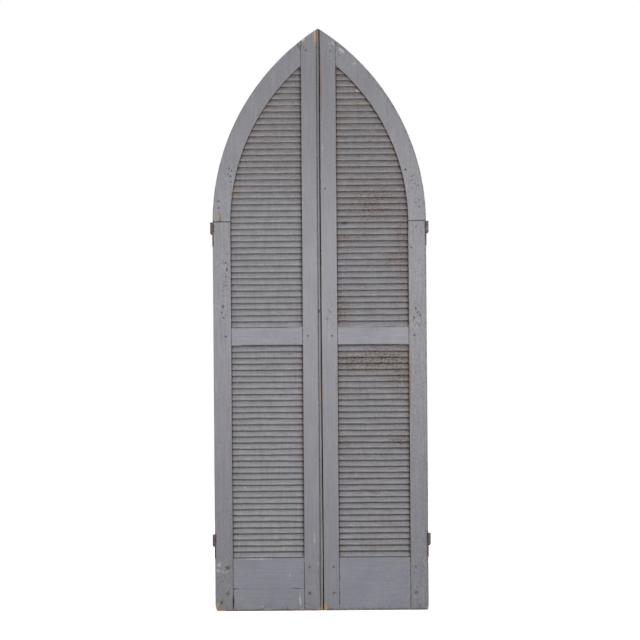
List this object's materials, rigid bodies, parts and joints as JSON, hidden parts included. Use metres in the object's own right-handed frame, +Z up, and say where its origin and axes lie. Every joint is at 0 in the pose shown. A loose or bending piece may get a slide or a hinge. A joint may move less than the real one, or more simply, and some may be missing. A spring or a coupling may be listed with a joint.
{
  "type": "pair of louvered doors",
  "caption": "Pair of arch-topped louvered doors with fixed slats, a mid rail, a deep bottom rail and lift-off hinge knuckles, closing to a pointed arch.",
  "frame": {"origin": "middle of the bottom of the closed pair's box, hinge barrels included", "axes": "+X across the pair to the right seen from the front, +Z up, and the front face looks along -Y"},
  "size_m": [0.906, 0.0434, 2.4165],
  "materials": {
    "painted_frame": "old grey oil paint on softwood, chalky, with worn arrises and small dents",
    "painted_slats": "old grey oil paint worn thin over brown wood",
    "painted_pegs": "end grain pegs under worn grey paint",
    "hinge_iron": "rusty iron with traces of grey paint",
    "screw_steel": "rusty slotted countersunk screws",
    "pin_steel": "worn rusty iron pin"
  },
  "bodies": {
    "hinge_pins": {"left_upper_hinge_pin": "pin_steel", "left_lower_hinge_pin": "pin_steel", "right_upper_hinge_pin": "pin_steel", "right_lower_hinge_pin": "pin_steel"},
    "left_door": {"left_hinge_stile": "painted_frame", "left_meeting_stile": "painted_frame", "left_arch_head": "painted_frame", "left_mid_rail": "painted_frame", "left_bottom_rail": "painted_frame", "left_arch_slats": "painted_slats", "left_upper_slats": "painted_slats", "left_lower_slats": "painted_slats", "left_head_pegs": "painted_pegs", "left_mid_rail_pegs": "painted_pegs", "left_bottom_rail_pegs": "painted_pegs", "left_upper_hinge_leaf": "hinge_iron", "left_upper_hinge_screws": "screw_steel", "left_lower_hinge_leaf": "hinge_iron", "left_lower_hinge_screws": "screw_steel"},
    "right_door": {"right_hinge_stile": "painted_frame", "right_meeting_stile": "painted_frame", "right_arch_head": "painted_frame", "right_mid_rail": "painted_frame", "right_bottom_rail": "painted_frame", "right_arch_slats": "painted_slats", "right_upper_slats": "painted_slats", "right_lower_slats": "painted_slats", "right_head_pegs": "painted_pegs", "right_mid_rail_pegs": "painted_pegs", "right_bottom_rail_pegs": "painted_pegs", "right_upper_hinge_leaf": "hinge_iron", "right_upper_hinge_screws": "screw_steel", "right_lower_hinge_leaf": "hinge_iron", "right_lower_hinge_screws": "screw_steel"}
  },
  "joints": [
    {"name": "left_door_swing", "type": "hinge", "parent": "hinge_pins", "child": "left_door", "pos_m": [-0.447, -0.01575, 0.92], "axis": [0, 0, -1], "range_deg": [0, 175]},
    {"name": "right_door_swing", "type": "hinge", "parent": "hinge_pins", "child": "right_door", "pos_m": [0.447, -0.01575, 0.92], "axis": [0, 0, 1], "range_deg": [0, 175]}
  ]
}
